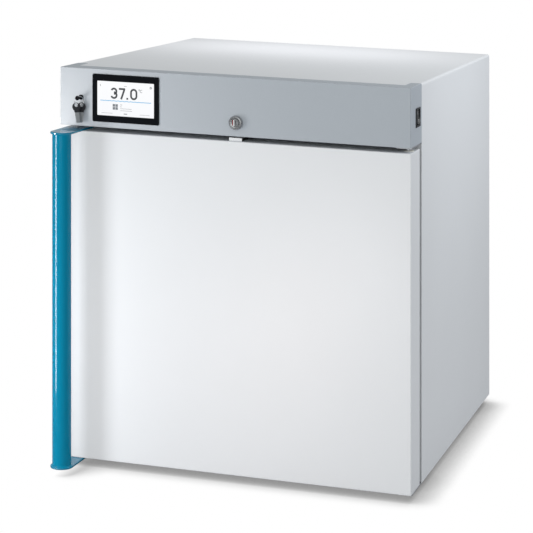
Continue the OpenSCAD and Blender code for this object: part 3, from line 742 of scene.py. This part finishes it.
def stroke(points, width, closed=False):
    """A flat band of constant width along a polyline in the screen plane."""
    bm = bmesh.new()
    count = len(points)
    rows = []
    for i, (u, v) in enumerate(points):
        before = points[i - 1] if i > 0 or closed else (u, v)
        after = points[(i + 1) % count] if i < count - 1 or closed else (u, v)
        along = Vector((after[0] - before[0], after[1] - before[1])).normalized()
        mitre = 1.0
        if closed or 0 < i < count - 1:
            arriving = Vector((u - before[0], v - before[1])).normalized()
            mitre = 1.0 / max(0.5, along.dot(arriving))
        half = Vector((-along.y, along.x)) * width / 2 * mitre
        rows.append([bm.verts.new(place(mid_x + u + s * half.x, y, mid_z + v + s * half.y))
                     for y, s in ((SCREEN_Y, 1), (SCREEN_Y - RELIEF, 1),
                                  (SCREEN_Y - RELIEF, -1), (SCREEN_Y, -1))])
    join_rings(bm, rows + rows[:1] if closed else rows, capped=not closed)
    return bm


def block(u0, v0, u1, v1):
    return stroke([(u0, (v0 + v1) / 2), (u1, (v0 + v1) / 2)], abs(v1 - v0))


def print_marks(bm, name, ink_name, colour):
    ink(ink_name, colour)
    piece(bm, name, ink_name, "cabinet", weighted=False)


DIGIT = 18.0  # digit height
BAR = 3.0  # digit stroke width
FOOT = -0.2  # v of the digits' foot
DIGIT_TOP = FOOT + DIGIT


def digit_3(u, width):
    upper, lower = DIGIT * 0.235, DIGIT * 0.255
    centre = u + width * 0.48
    return [stroke(arc(centre, DIGIT_TOP - BAR / 2 - upper, upper, 160, -90, 16), BAR),
            stroke(arc(centre, FOOT + BAR / 2 + lower, lower, 90, -160, 18), BAR)]


def digit_0(u, width):
    radius = (width - BAR) / 2
    centre = u + width / 2
    points = arc(centre, DIGIT_TOP - BAR / 2 - radius, radius, 0, 180, 14)
    points += arc(centre, FOOT + BAR / 2 + radius, radius, 180, 360, 14)
    return [stroke(points, BAR, True)]


def digit_7(u, width):
    top = DIGIT_TOP - BAR / 2
    leg = [(u + width - BAR * 0.62, DIGIT_TOP - BAR * 0.6), (u + width * 0.33, FOOT)]
    return [stroke([(u, top), (u + width - BAR * 0.25, top)], BAR), stroke(leg, BAR * 1.02)]


# The reading, 37.0
POINT_U = 1.6
digits = digit_3(-25.2, 11.6) + digit_7(-11.2, 11.4)
digits += [block(POINT_U, FOOT, POINT_U + BAR, FOOT + BAR)] + digit_0(8.0, 12.2)
print_marks(merge(digits), "screen_digits", "ink_dark", (0.060, 0.064, 0.070))

# Grey marks: four tiles and two short lines below, a chevron upper left, a cog upper right.
TILE_W, TILE_H, TILE_PITCH_U, TILE_PITCH_V = 4.1, 4.2, 4.7, 4.8
LINE_U = -9.0  # left end of the text lines
COG_U, COG_V = 43.0, 20.6
marks = []
for i in range(2):
    for j in range(2):
        u, v = -21.8 + i * TILE_PITCH_U, -17.4 + j * TILE_PITCH_V
        marks.append(block(u, v, u + TILE_W, v + TILE_H))
for length, v in ((3.4, -9.2), (2.6, -12.3)):
    marks.append(block(LINE_U, v - 0.4, LINE_U + length, v + 0.4))
marks.append(stroke([(-42.0, 22.4), (-43.2, 20.6), (-42.0, 18.8)], 0.7))
marks.append(stroke(circle(1.2, 16, COG_U, COG_V), 0.9, True))
for k in range(6):
    c, s = math.cos(math.radians(60 * k)), math.sin(math.radians(60 * k))
    marks.append(stroke([(COG_U + r * c, COG_V + r * s) for r in (1.5, 2.3)], 0.7))
print_marks(merge(marks), "screen_marks", "ink_grey", (0.20, 0.215, 0.235))

# Pale marks: degree sign and C, two long lines, a bar at the top and three at the bottom.
pale = [stroke(circle(1.0, 16, 23.4, DIGIT_TOP - 1.6), 0.75, True),
        stroke(arc(27.0, DIGIT_TOP - 3.4, 2.1, 50, 310, 14), 0.95)]
for length, v in ((19.5, -15.2), (20.3, -18.4)):
    pale.append(block(LINE_U, v - 0.35, LINE_U + length, v + 0.35))
pale += [block(-2.5, 20.4, 2.5, 21.2), block(-41, -23.6, -22, -23.0),
         block(-3.0, -24.2, 3.0, -22.6), block(24, -23.6, 41, -23.0)]
print_marks(merge(pale), "screen_faint_marks", "ink_pale", (0.36, 0.375, 0.39))

# A line across the display: a ripple that swells towards k = 38, plus a fine one.
trace = [(-43 + k * 1.03,
          -3.4 + 0.35 * math.sin(k * 0.9) * math.exp(-((k - 38) / 26.0) ** 2)
          + 0.18 * math.sin(k * 2.3)) for k in range(85)]
print_marks(stroke(trace, 1.25), "screen_trace", "ink_blue", (0.24, 0.52, 0.78))

# ---------------------------------------------------------------- lock
plug_lo, plug_hi = box_mm("lock_plug")
lock_x, lock_z = (plug_lo.x + plug_hi.x) / 2, (plug_lo.z + plug_hi.z) / 2
# (radius, depth into the cabinet)
LOCK_PROFILE = [
    (6.15, 20), (7.9, 20), (7.9, 0.0), (10.7, 0.0), (11.0, -0.3), (11.0, -3.9), (10.85, -4.5),
    (10.3, -5.2), (9.6, -5.75), (8.9, -6.0), (8.3, -5.9), (7.9, -5.5), (7.6, -5.1),
    (6.5, -5.05), (6.15, -4.8),
]
piece(lathe(LOCK_PROFILE, axis_y(lock_x, 0, lock_z), 72, closed=True), "lock_head",
      "lock_nickel", "cabinet", replaces=("lock_body",), sharp=50)
piece(slab(circle(13.0, 6), 4.0, axis_y(lock_x, 2.1, lock_z), 0.5, 2), "lock_nut",
      "zinc_steel", "cabinet")

BARREL_FACE = -5.4
# (radius, depth), from the face to the inner end
BARREL_RINGS = [(5.6, BARREL_FACE), (5.9, -5.1), (6.0, 21.0), (4.0, 21.3), (4.0, 26.6)]
KEYWAY_HALF_W, KEYWAY_HALF_H = 0.95, 3.9
KEYWAY_NECK = KEYWAY_HALF_W * 0.35
KEYWAY = [
    (-KEYWAY_HALF_W, -KEYWAY_HALF_H), (KEYWAY_HALF_W, -KEYWAY_HALF_H), (KEYWAY_HALF_W, -0.9),
    (KEYWAY_NECK, -0.4), (KEYWAY_NECK, 1.0), (KEYWAY_HALF_W, 1.5),
    (KEYWAY_HALF_W, KEYWAY_HALF_H), (-KEYWAY_HALF_W, KEYWAY_HALF_H), (-KEYWAY_HALF_W, 0.6),
    (-KEYWAY_NECK, 0.1), (-KEYWAY_NECK, -1.6), (-KEYWAY_HALF_W, -2.1),
]


def barrel():
    """Key barrel with a keyway sunk in its face."""
    bm = bmesh.new()
    rings = [verts_at(bm, circle(radius, 48), depth) for radius, depth in BARREL_RINGS]
    join_rings(bm, rings)
    bm.faces.new(rings[-1])
    sink(bm, rings[0], KEYWAY, top=BARREL_FACE, floor=3.0, facing=-1)
    bmesh.ops.transform(bm, matrix=axis_y(lock_x, 0, lock_z), verts=bm.verts)
    return bm


def index_and_highlight_strip(name, mat, left, half_width, half_height):
    """An upright enamel strip on the barrel's face, left of the keyway: used for the red index mark
    and for the white bar, which is a painted highlight.
    """
    mark = slab(rectangle(half_width, half_height), 0.12,
                axis_y(lock_x - left, -5.52, lock_z), 0.04, 2)
    piece(mark, name, mat, "lock_barrel")


piece(barrel(), "key_barrel", "lock_nickel", "lock_barrel",
      replaces=("lock_plug",), sharp=40)
enamel("red_enamel", (0.33, 0.012, 0.02))
index_and_highlight_strip("lock_index_line", "red_enamel", left=3.9, half_width=0.6, half_height=4.0)
# The white bar is a painted highlight: a bright reflection on the barrel's face, put in as white
# enamel.
enamel("white_highlight_enamel", (0.86, 0.86, 0.86))
index_and_highlight_strip("lock_painted_highlight_bar", "white_highlight_enamel", left=2.0, half_width=0.8, half_height=4.9)
refine("lock_cam", 0.3, 2)

# ---------------------------------------------------------------- hook and ring
hook_lo, hook_hi = box_mm("key_hook")
hook_x, hook_z = (hook_lo.x + hook_hi.x) / 2, (hook_lo.z + hook_hi.z) / 2
# (radius, depth into the cabinet)
HOOK_PROFILE = [
    (0.0, 5.0), (1.5, 5.0), (1.5, 0.0), (4.2, 0.0), (4.2, -0.9), (3.9, -1.4), (3.2, -1.65),
    (1.75, -2.1), (1.5, -3.0), (1.5, -12.6), (1.8, -13.3), (2.6, -13.8), (3.4, -14.3),
    (3.6, -15.0), (3.45, -15.9), (2.7, -16.4), (1.5, -16.6), (0.0, -16.65),
]
piece(lathe(HOOK_PROFILE, axis_y(hook_x, 0, hook_z), 40), "hook_pin", "black_plastic",
      "cabinet", replaces=("key_hook",), sharp=50)

ring_lo, ring_hi = box_mm("key_ring")
ring_mid = (ring_lo + ring_hi) / 2
coil_radius = (ring_hi.z - ring_lo.z) / 2 - 0.45
COIL_WIRE, COIL_TURNS, COIL_STEPS = 0.40, 2.15, 132
COIL_RISE = 0.663  # sideways per turn
COIL_START = 0.6  # radians
RING_TURN = math.radians(45)  # the ring's plane, turned from X about Z
ring_along = Vector((math.cos(RING_TURN), math.sin(RING_TURN), 0))
ring_normal = Vector((-math.sin(RING_TURN), math.cos(RING_TURN), 0))
coil = []
for i in range(COIL_STEPS + 1):
    turn = COIL_TURNS * i / COIL_STEPS
    angle = 2 * math.pi * turn - COIL_START
    centre = ring_mid + ring_along * (coil_radius * math.cos(angle))
    centre += Vector((0, 0, coil_radius * math.sin(angle)))
    coil.append(place(*(centre + ring_normal * (COIL_RISE * (turn - COIL_TURNS / 2)))))
piece(sweep(coil, COIL_WIRE * MM, 10), "split_ring", "chrome", "key_ring",
      replaces=("key_ring",), sharp=50)

# ---------------------------------------------------------------- keys
RING_RADIUS = 7.5
RING_DROP = 5.35  # ring centre below the hook's axis
HANG_ANGLE = math.radians(38)  # round the ring from its lowest point to a key
HANG_SLACK = 0.3
BOW_HALF = 0.8  # half thickness of the bow
BLADE_HALF = 0.6
BLADE_ROOT, BLADE_EDGE = -11.5, 3.5
# Cut edge of the blade from the tip: (reach, step up to the next point)
CUTS = ((3.5, 0.4), (2.3, 1.2), (3.5, 1.2), (1.9, 1.4), (3.4, 1.4), (2.6, 1.1), (3.5, 1.2),
        (2.1, 1.3), (3.5, 1.3))


def key_bow(matrix):
    """The bow with its ring hole: local x right, y up, z towards the front."""
    outer = arc(0, -3.2, 7, -55, 235, 40)
    outer += [(-4.0, -11.4), (-3.4, -12.0), (3.4, -12.0), (4.0, -11.4)]
    bm = bmesh.new()
    sides = []
    for z in (-BOW_HALF, BOW_HALF):
        rim, hole = verts_at(bm, outer, z), verts_at(bm, circle(3.2, 24), z)
        # The rim goes in as the first edge loop of the fill.
        fill_between(bm, hole, rim, facing=math.copysign(1, z))
        sides.append((rim, hole))
    for first, second in zip(*sides):
        bridge(bm, first, second)
    round_rims(bm, 0.45, 3)
    bmesh.ops.transform(bm, matrix=matrix, verts=bm.verts)
    return bm


def key_blade(matrix, side):
    """The blade, cut on the side away from the other key, with a thin raised rib on its face."""
    outline = [(-BLADE_EDGE, BLADE_ROOT), (-BLADE_EDGE, -27.6), (-2.6, -28.5), (1.6, -28.5)]
    y = -27.0
    for reach, step in CUTS:
        outline.append((reach, y))
        y += step
    outline += [(BLADE_EDGE, -16.0), (BLADE_EDGE, BLADE_ROOT)]
    blade = slab([(x * side, y) for x, y in outline], 2 * BLADE_HALF,
                 matrix @ Matrix.Translation((0, 0, -BLADE_HALF)), 0.18, 2)
    rib = slab(rectangle(0.35, 7.25, x=-1.3 * side, y=-19.75), 0.08,
               matrix @ Matrix.Translation((0, 0, 0.58)), 0.03, 1)
    return merge([blade, rib])


for side, node, tilt in ((-1, "key_left", -6), (1, "key_right", 2)):
    offset = RING_RADIUS * math.sin(HANG_ANGLE) * math.cos(RING_TURN) * side
    pivot_z = hook_z - RING_DROP - RING_RADIUS * math.cos(HANG_ANGLE) - HANG_SLACK
    key_matrix = (Matrix.Translation(place(hook_x + offset, ring_mid.y + offset, pivot_z))
                  @ Matrix.Rotation(math.radians(tilt), 4, "Y")
                  @ Matrix.Rotation(math.pi / 2, 4, "X") @ MM_SCALE)
    piece(key_bow(key_matrix), node + "_head", "black_matte", node, replaces=(node,))
    piece(key_blade(key_matrix, side), node + "_blade", "key_steel", node)

# ---------------------------------------------------------------- mains switch
refine("switch_housing", 0.35, 2, passes=((lambda mid, a, b: mid.x > HALF_WIDTH + 1.5, 0.6, 3),))
refine("switch_rocker", 0.5, 3)
rocker_lo, rocker_hi = box_mm("switch_rocker")
rocker_matrix = (
    Matrix.Translation(place(HALF_WIDTH - 5, (rocker_lo.y + rocker_hi.y) / 2, 577))
    @ Matrix.Rotation(math.radians(-7), 4, "Y") @ MM_SCALE)
# Each half of the rocker's face rises from its middle to its end.
ROCKER_FACE, ROCKER_RISE, ROCKER_HALF = 5.6, 1.0, 11.0
MARK_Z = 5.8


def rocker_face(z):
    """Local frame on the rocker's face at height z from its pivot."""
    lean = math.copysign(math.atan2(ROCKER_RISE, ROCKER_HALF), z)
    x = ROCKER_FACE + abs(z) * ROCKER_RISE / ROCKER_HALF
    return (rocker_matrix @ Matrix.Translation((x, 0, z)) @ Matrix.Rotation(lean, 4, "Y")
            @ Matrix.Rotation(math.pi / 2, 4, "Y"))


# A bar on the upper half and a ring on the lower
bar_mark = slab(rectangle(2.2, 0.4), 0.1, rocker_face(MARK_Z), 0.03, 1)
ring_mark = lathe([(1.9, 0.0), (1.9, 0.1), (1.3, 0.1), (1.3, 0.0)], rocker_face(-MARK_Z), 28,
                  closed=True)
enamel("switch_white", (0.75, 0.76, 0.77), rough=0.4)
piece(merge([bar_mark, ring_mark]), "switch_marks", "switch_white", "rocker")

# ---------------------------------------------------------------- chamber and fittings
CHAMBER_HALF_W, CHAMBER_FLOOR, CHAMBER_ROOF = 200, 63, 463


def chamber_corner(mid, a, b):
    """The liner's four long corners, running front to back."""
    return (abs(abs(mid.x) - CHAMBER_HALF_W) < 0.2
            and (abs(mid.z - CHAMBER_FLOOR) < 0.2 or abs(mid.z - CHAMBER_ROOF) < 0.2)
            and abs(a.y - b.y) > 50)


refine("chamber_liner", 0.35, 2, passes=((chamber_corner, 5.0, 5),))
for node, width, segs in (
    ("air_baffle", 0.25, 2), ("shelf_runner_left", 0.25, 2), ("shelf_runner_right", 0.25, 2),
    ("port_plug", 0.8, 3), ("port_tube", 0.3, 2), ("mains_inlet", 0.4, 2),
    ("hinge_bracket_upper", 0.4, 2), ("hinge_bracket_lower", 0.4, 2), ("hinge_bushes", 0.25, 2),
):
    refine(node, width, segs)

# ---------------------------------------------------------------- rear screws
REAR_Y = 621.5
EDGE_INSET = 8.5  # from the casing's sides and top
places = [(s * (HALF_WIDTH - EDGE_INSET), z) for z in range(60, 581, 130) for s in (-1, 1)]
places += [(x, z) for z in (TOP - EDGE_INSET, 8) for x in (-180, 0, 180)]
screws = []
for x, z in places:
    # Each recess is left at its own angle.
    matrix = (Matrix.Translation(place(x, REAR_Y, z)) @ Matrix.Rotation(-math.pi / 2, 4, "X")
              @ Matrix.Rotation(0.37 * (x + z), 4, "Z") @ MM_SCALE)
    screws += screw(matrix, radius=3.9, height=2.1, recess=1.2, shank_radius=1.75,
                    shank_length=7)
piece(merge(screws), "rear_screw_set", "zinc_steel", "cabinet", replaces=("rear_screws",))


# ---------------------------------------------------------------- stage
def pale_floor():
    """Seen directly: emits white, with a painted shadow from ambient occlusion where the cabinet
    hides it. For bounces: light grey.
    """
    mat = Material("pale_floor")
    rays = mat.add("ShaderNodeLightPath")
    tone = mat.remap(mat.noise(scale=2.5), to=(0.98, 1.0))
    mat.set(Base_Color=mat.mix(tone, (0.40, 0.40, 0.41), (0.46, 0.46, 0.47)), Roughness=0.9,
            Specular_IOR_Level=0.0)
    hidden = mat.add("ShaderNodeAmbientOcclusion", samples=12)
    hidden.inputs["Distance"].default_value = 0.058
    lean = mat.add("ShaderNodeCombineXYZ")
    for i, v in enumerate((-0.66, -0.06, 0.75)):  # leans the shadow to the right
        lean.inputs[i].default_value = v
    mat.put(hidden.inputs["Normal"], lean.outputs[0])
    grey = mat.remap(hidden.outputs["AO"], span=(0.12, 0.84), to=(0.13, 1.0))
    # No shadow left of the cabinet and in front of the door
    axes = mat.axes()
    left = mat.remap(axes[0], span=(-0.275, -0.215), to=(1.0, 0.0))
    front = mat.remap(axes[1], span=(FRONT_Y - 0.004, FRONT_Y + 0.03), to=(1.0, 0.0))
    shade = mat.maths("MAXIMUM", grey, mat.maths("MULTIPLY", left, front))
    # Camera rays see emission: white times the painted shadow.
    glow = mat.add("ShaderNodeEmission")
    lit = mat.mix(shade, (0, 0, 0), (1, 1, 1))
    mat.put(glow.inputs["Color"], mat.mix(1.0, (1, 1, 1), lit, "MULTIPLY"))
    both = mat.add("ShaderNodeMixShader")
    mat.put(both.inputs[0], rays.outputs["Is Camera Ray"])
    mat.put(both.inputs[1], mat.shader.outputs[0])
    mat.put(both.inputs[2], glow.outputs[0])
    mat.put(mat.tree.nodes["Material Output"].inputs["Surface"], both.outputs[0])
    return mat.data


floor_mesh = bpy.data.meshes.new("floor")
grid = bmesh.new()
bmesh.ops.create_grid(grid, x_segments=4, y_segments=4, size=14)
grid.to_mesh(floor_mesh)
grid.free()
floor = add_object("floor", floor_mesh)
floor_mesh.materials.append(pale_floor())

# ---------------------------------------------------------------- light
# The world is white to the camera and a soft grey to everything else.
world = bpy.data.worlds.new("studio")
scene.world = world
world.use_nodes = True
nodes, links = world.node_tree.nodes, world.node_tree.links
rays = nodes.new("ShaderNodeLightPath")
sky = nodes.new("ShaderNodeMix")
sky.data_type = "RGBA"
links.new(rays.outputs["Is Camera Ray"], sky.inputs[0])
sky.inputs[6].default_value = (0.5419, 0.5545, 0.5579, 1)
sky.inputs[7].default_value = (1.0, 1.0, 1.0, 1)
links.new(sky.outputs[2], nodes["Background"].inputs["Color"])

# Groups of pieces, by the start of their names, that a light can be kept to
GROUPS = {
    "teal": ("grip_tube", "handle_plate"),
    "fascia": ("control_fascia_v",),
    "door": ("door_skin", "striker_v"),
    "casing": ("outer_casing_v",),
}
receivers = {}
for group, starts in GROUPS.items():
    receivers[group] = bpy.data.collections.new("lit_" + group)
    for obj in scene.objects:
        if obj.name.startswith(starts):
            receivers[group].objects.link(obj)

# name: position, aim, (width, height), watts, colour, lights surfaces, shows in gloss, only on
LIGHTS = {
    "strip_d": ((-0.549, -0.654, 0.26), (-0.268, -0.33, 0.26), (0.13, 0.5), 1.671,
                (0.97, 0.991, 1.022), True, False, ""),
    "strip_g": ((-0.59, -0.6, 0.27), (-0.268, -0.33, 0.27), (0.11, 0.5), 7.128,
                (1.062, 0.974, 0.957), False, True, "teal"),
    "fas_b": ((-0.42, -0.46, 0.5), (-0.28, -0.29, 0.56), (0.1, 0.06), 0.386,
              (1.097, 0.998, 0.908), True, False, "fascia"),
    "fas_c": ((-0.8, -0.75, 0.62), (-0.28, -0.29, 0.58), (0.2, 0.2), 0.9304,
              (1.123, 0.985, 0.857), True, False, "fascia"),
    "front": ((0.2, -2.8, 0.9), (0, -0.3, 0.3), (1.6, 1.6), 17.63,
              (0.993, 1.011, 0.99), True, True, ""),
    "blob_g": ((0.02, -0.62, 0.2), (0.02, -0.3, 0.2), (0.15, 0.2), 0.05563,
               (1.34, 0.943, 0.75), True, True, "door"),
    "blob_i": ((0.12, -0.7, 0.27), (0.12, -0.3, 0.27), (0.2, 0.25), 0.2673,
               (1.031, 0.982, 0.985), True, True, "door"),
    "right_near": ((1.0, 0.1, 0.9), (0.3, 0.1, 0.45), (0.5, 0.5), 3.707,
                   (0.959, 0.994, 1.04), True, True, ""),
    "top_a": ((-0.05, 0.22, 0.86), (-0.05, 0.22, 0.64), (0.5, 0.12), 0.5152,
              (1.003, 0.982, 1.011), True, False, "casing"),
}
for name, (position, aim, size, watts, colour, diffuse, gloss, only) in LIGHTS.items():
    light = bpy.data.lights.new(name, "AREA")
    light.shape = "RECTANGLE"
    light.size, light.size_y = size
    light.energy = watts
    light.color = colour
    light.spread = math.pi
    lamp = add_object(name, light)
    lamp.location = position
    lamp.rotation_mode = "QUATERNION"
    lamp.rotation_quaternion = (Vector(aim) - Vector(position)).to_track_quat("-Z", "Y")
    lamp.visible_camera = False
    lamp.visible_diffuse = diffuse
    lamp.visible_glossy = gloss
    if only:
        lamp.light_linking.receiver_collection = receivers[only]

# ---------------------------------------------------------------- camera
# Verticals stay upright and the image's x axis rises slightly: the camera sits in a skewed frame.
EYE = place(971.93, -2875.36, 952.99)
YAW = 0.2618  # radians, turned left from +Y
RISE = 0.0319  # rise of the image's x axis
# The frame's middle, per unit of distance along the level view direction
MIDDLE_RIGHT = -0.0459864087
MIDDLE_DOWN = 0.2038567204
SENSOR = 36.0
FOCAL = 130.2011257  # mm, along the level view direction

forward = Vector((-math.sin(YAW), math.cos(YAW), 0))
right = Vector((math.cos(YAW), math.sin(YAW), 0))
up = Vector((0, 0, 1))
image_x = right + up * RISE
middle = forward + image_x * MIDDLE_RIGHT - up * MIDDLE_DOWN
columns = (image_x.normalized(), up, -middle.normalized(), EYE)
skewed = Matrix([[column[i] for column in columns] for i in range(3)] + [(0, 0, 0, 1)])
rig = add_object("camera_rig", None)
view = bpy.data.cameras.new("photo_view")
camera = add_object("photo_view", view)
camera.parent = rig
camera.matrix_parent_inverse = skewed
view.sensor_width = SENSOR
view.lens = FOCAL * middle.length
view.clip_start, view.clip_end = 0.05, 60
scene.camera = camera
bpy.context.view_layer.update()

scene.view_settings.view_transform = "Standard"
scene.view_settings.look = "None"
scene.view_settings.exposure = 0.0
scene.view_settings.gamma = 1.0
